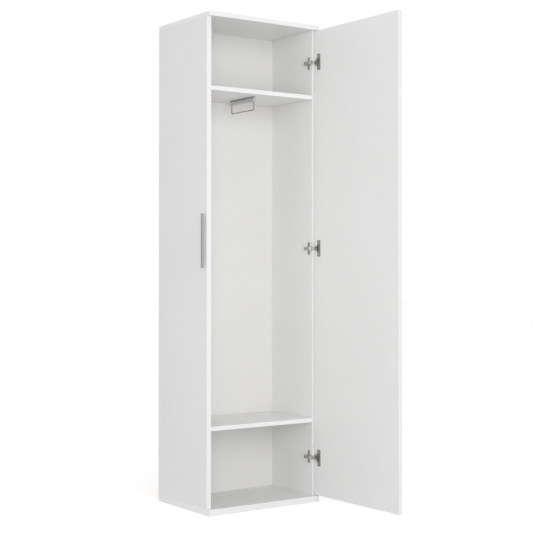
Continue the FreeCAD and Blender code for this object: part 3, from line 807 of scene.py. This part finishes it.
plate_and_shaded_lining_nickel = nickel_plate("plate_and_shaded_lining_nickel", plate_and_lining_shade_dark, plate_and_lining_shade_light)
dark_screw_finish = nickel_plate("dark_screw_steel", black_dark, black_light)
for name in hinge_names:
    plate = joined("hinge_plate_pressing_" + name, plate_pressing(name), [plate_and_shaded_lining_nickel])
    fitted(plate, "carcass", "hinge_steel", "hinge_plate_" + name)
    arm = joined("hinge_arm_pressing_" + name, arm_pressing(name), [nickel])
    fitted(arm, "carcass", "hinge_steel", "hinge_arm_" + name)
    link = joined("hinge_link_pressing_" + name, link_pressing(name), [nickel])
    fitted(link, "hinge_links", "hinge_steel", "hinge_link_" + name)
screws = cross_screws("hinge_plate_screws", to_left, plate_head, plate_shank)
plate_fixings = joined("hinge_plate_cross_screws", screws, [plate_and_shaded_lining_nickel])
fitted(plate_fixings, "carcass", "hinge_steel", "hinge_plate_screws")
screws = cross_screws("hinge_adjusting_screws", to_left, adjust_head, adjust_shank)
# Every second adjusting screw takes the dark steel.
for screw, place in screws[1::2]:
    numbered(screw, 1)
adjusting = joined("hinge_adjusting_cross_screws", screws, [nickel, dark_screw_finish])
fitted(adjusting, "carcass", "zinc_steel", "hinge_adjusting_screws")
pins = [rivet(low, high) for low, high in solids_of("hinge_pins")]
fitted(joined("hinge_rivets", pins, [zinc]), "carcass", "zinc_steel", "hinge_pins")

# Hinge cups: round nickel-plated pressings sunk into the door, with a bright lipped rim and a darker
# inside, whose darker nickel is painted shade in the cup. A dull plate with two ears lies on each rim,
# held by two screws, and two short pivots take the link. All is worked out with the door closed and
# then turned as far as the door stands open.
cup_radius, cup_wall, cup_depth, bore_play = 0.0175, 0.001, 0.012, 0.0001
shell_bend, shell_chord, lining_bend, lining_chord, rim_lap = 0.002, 0.0006, 0.0016, 0.0005, 0.0002
rim_radius, rim_sheet, lip_radius, mouth_half = 0.0185, 0.0007, 0.0120, 0.0075
ear_sheet, ear_width, ear_offset, ear_corner = 0.0012, 0.020, 0.0095, 0.004
cup_head, cup_shank = 0.0014, 0.00175
pivot_gap = 0.0052
bright_light, bright_dark = (0.92, 0.91, 0.89), (0.84, 0.83, 0.81)
at_axis = Matrix.Translation(hinge_axis)
opened = at_axis @ Matrix.Rotation(open_angle, 4, "Z") @ at_axis.inverted()
on_door = Matrix(((0, 1, 0), (0, 0, 1), (1, 0, 0))).to_4x4()


def cup_place(name):
    """Centre of a cup's mouth on the inner face of the closed door, and half the length of its ears."""
    low, high = solids_of("hinge_cup_" + name, opened)[0]
    return Vector((high.x - rim_radius, high.y - ear_sheet, (low.z + high.z) / 2)), (high.z - low.z) / 2


def arc_outline(radius, first, last, steps):
    """Points of an arc about the cup's middle, its angles counted from the side of the arm."""
    angles = [first + (last - first) * step / steps for step in range(steps + 1)]
    return [Vector((radius * math.sin(angle), radius * math.cos(angle))) for angle in angles]


def cup_pressing(name):
    """Cup: a lipped rim, the plate with the ears, the shell, its lining and the two pivots."""
    center, tall = cup_place(name)
    outer, inner, floor = cup_radius - bore_play, cup_radius - cup_wall, cup_wall - cup_depth
    notch, lip = math.asin(mouth_half / inner), math.asin(mouth_half / lip_radius)
    mouth = arc_outline(inner, notch, -notch, steps=8)
    mouth += arc_outline(lip_radius, -lip, lip - 2 * math.pi, steps=40)
    rim = pressed([circle_outline(0, 0, rim_radius, steps=48), mouth], rim_sheet, arm_eased)
    ear_right = ear_width / 2 - ear_offset
    ear_left = ear_right - ear_width
    hollow = math.acos(ear_right / lip_radius)
    ears = rounded_outline([(-tall, ear_right, ear_corner), (-tall, ear_left, ear_corner),
                            (tall, ear_left, ear_corner), (tall, ear_right, ear_corner)])
    ears += arc_outline(lip_radius, hollow, 2 * math.pi - hollow, steps=30)
    plate = numbered(pressed([ears], ear_sheet, arm_eased), 1)
    shell = turned_mesh([(0, -cup_depth), (outer - shell_bend, -cup_depth),
                         (outer - shell_chord, -cup_depth + shell_chord), (outer, -cup_depth + shell_bend),
                         (outer, rim_lap), (inner, rim_lap)])
    # The lining takes the darker plate nickel as painted shade inside the cup.
    lining = turned_mesh([(inner, rim_lap), (inner, floor + lining_bend),
                          (inner - lining_chord, floor + lining_chord),
                          (inner - lining_bend, floor), (0, floor)])
    place = opened @ Matrix.Translation(center) @ on_door
    parts = [(rim, place @ Matrix.Translation((0, 0, rim_sheet))),
             (plate, place @ Matrix.Translation((0, 0, ear_sheet))),
             (shell, place), (numbered(lining, 1), place)]
    pivot = pivot_at(-1) + upward * center.z
    span = math.sqrt(inner ** 2 - (pivot.x - center.x) ** 2) - pivot_gap
    for direction in (upward, downward):
        pin = turned_mesh([(0, 0), (pivot_radius, 0), (pivot_radius, span), (0, span)], segments=16)
        parts.append((pin, opened @ standing(pivot + direction * pivot_gap, direction)))
    return parts


bright_nickel = nickel_plate("bright_nickel", bright_dark, bright_light)
for name in hinge_names:
    cup = joined("hinge_cup_pressing_" + name, cup_pressing(name), [bright_nickel, plate_and_shaded_lining_nickel])
    fitted(cup, "door", "hinge_steel", "hinge_cup_" + name)
screws = cross_screws("hinge_cup_screws", to_rear, cup_head, cup_shank, opened)
fitted(joined("hinge_cup_cross_screws", screws, [nickel]), "door", "hinge_steel", "hinge_cup_screws")

# Door: one board of the same faced chipboard, banded on all four edges. Its inner face is bored for
# the three cups, which carry it on the hinges.
low, high = solids_of("door_panel", opened)[0]
mesh = eased_block(low, high, band_radius, [to_left, to_right, upward, downward])
for name in hinge_names:
    center = cup_place(name)[0]
    bore = turned_mesh([(0, -cup_depth), (cup_radius, -cup_depth), (cup_radius, cup_depth), (0, cup_depth)])
    bore.transform(Matrix.Translation(center) @ on_door)
    mesh = cut_out(mesh, bore)
mesh.transform(opened)
fitted(new_piece("door_board", mesh, [foil] + [band] * 4), "door", "white_board", "door_panel")

# Door handle on the outer face, the same bar as on the side panel. Its screws come through the door,
# with their heads sunk into it, and thin white caps cover them inside.
low, high = solids_of("door_handle_bar", opened)[0]
mesh = eased_block(low, high, bar_radius)
mesh.transform(opened)
fitted(new_piece("door_handle_lacquered_bar", mesh, [silver]), "door", "handle_metal", "door_handle_bar")
posts = [handle_post(low, high, to_front) for low, high in solids_of("door_handle_posts", opened)]
posts = [(mesh, opened @ place) for mesh, place in posts]
post_pair = joined("door_handle_moulded_posts", posts, [shade_toned_post_plastic])
fitted(post_pair, "door", "white_plastic", "door_handle_posts")
caps = [round_cap(low, high, to_rear) for low, high in solids_of("door_handle_caps", opened)]
caps = [(mesh, opened @ place) for mesh, place in caps]
fitted(joined("door_handle_moulded_caps", caps, [white_caps]), "door", "white_plastic", "door_handle_caps")
finish_node("door_handle_screws", zinc)

# Studio: a plain white floor, an even white surround, one broad soft lamp in front on the left and a
# weaker one at the left side. The floor and the surround look white to the camera, and a faint shadow
# stays on the floor.
floor_reach = 30
surround_light = 0.545
floor_white, floor_shade, floor_glow = 0.75, 0.74, 0.585
lamp_target = Vector((0, -0.1, 0.95))
lamps = {
    "front_lamp": (Vector((-1.85, -4.75, 1.5)), 3.2, 115),
    "side_lamp": (Vector((-5.0, -0.6, 1.2)), 2.2, 31),
}


def where_seen(finish):
    """1 where the camera sees the finish, also in metal or through clear plastic, and 0 elsewhere."""
    rays = add_node(finish, "LightPath", {})
    seen = rays.outputs["Is Camera Ray"]
    for kind in ("Is Glossy Ray", "Is Transmission Ray"):
        both = add_node(finish, "Math", {0: seen, 1: rays.outputs[kind]})
        both.operation = "MAXIMUM"
        seen = both.outputs[0]
    return seen


def studio_floor():
    """White floor that also looks white to the camera."""
    finish = new_finish("studio_floor", {"Roughness": 0.9, "Specular IOR Level": 0})
    colour_by(finish, grain(finish, size=0.5), (floor_shade,) * 3, (floor_white,) * 3)
    shader = shader_of(finish)
    shader.inputs["Emission Color"].default_value = (1, 1, 1, 1)
    glow = add_node(finish, "MapRange", {"Value": where_seen(finish), "To Max": floor_glow})
    finish.node_tree.links.new(glow.outputs["Result"], shader.inputs["Emission Strength"])
    return finish


shape = bmesh.new()
bmesh.ops.create_circle(shape, cap_ends=True, radius=floor_reach, segments=64)
floor = new_piece("floor", mesh_of(shape), [studio_floor()])
world = bpy.data.worlds.new("surround")
bpy.context.scene.world = world
world.use_nodes = True
glow = add_node(world, "MapRange", {"Value": where_seen(world), "To Min": surround_light, "To Max": 1})
background = world.node_tree.nodes["Background"]
background.inputs["Color"].default_value = (1, 1, 1, 1)
world.node_tree.links.new(glow.outputs["Result"], background.inputs["Strength"])
for name, (place, size, power) in lamps.items():
    lamp = bpy.data.lights.new(name, "AREA")
    lamp.size = size
    lamp.energy = power
    holder = bpy.data.objects.new(name, lamp)
    holder.matrix_world = standing(place, place - lamp_target)
    bpy.context.scene.collection.objects.link(holder)

# Camera: it stands at the photograph's place, to the left of the wardrobe and a little below its middle.
# The lens and the shift give the photograph's crop.
camera = bpy.data.cameras.new("camera")
camera.sensor_width = 36
camera.lens = 82.628
camera.shift_x = -0.04783
camera.shift_y = -0.02816
camera.clip_end = 100
view = bpy.data.objects.new("camera", camera)
view.location = (-2.6030, -3.9973, 0.9049)
view.rotation_euler = (math.radians(90.799), 0, math.radians(-35.562))
bpy.context.scene.collection.objects.link(view)
bpy.context.scene.camera = view
bpy.context.scene.view_settings.view_transform = "Standard"
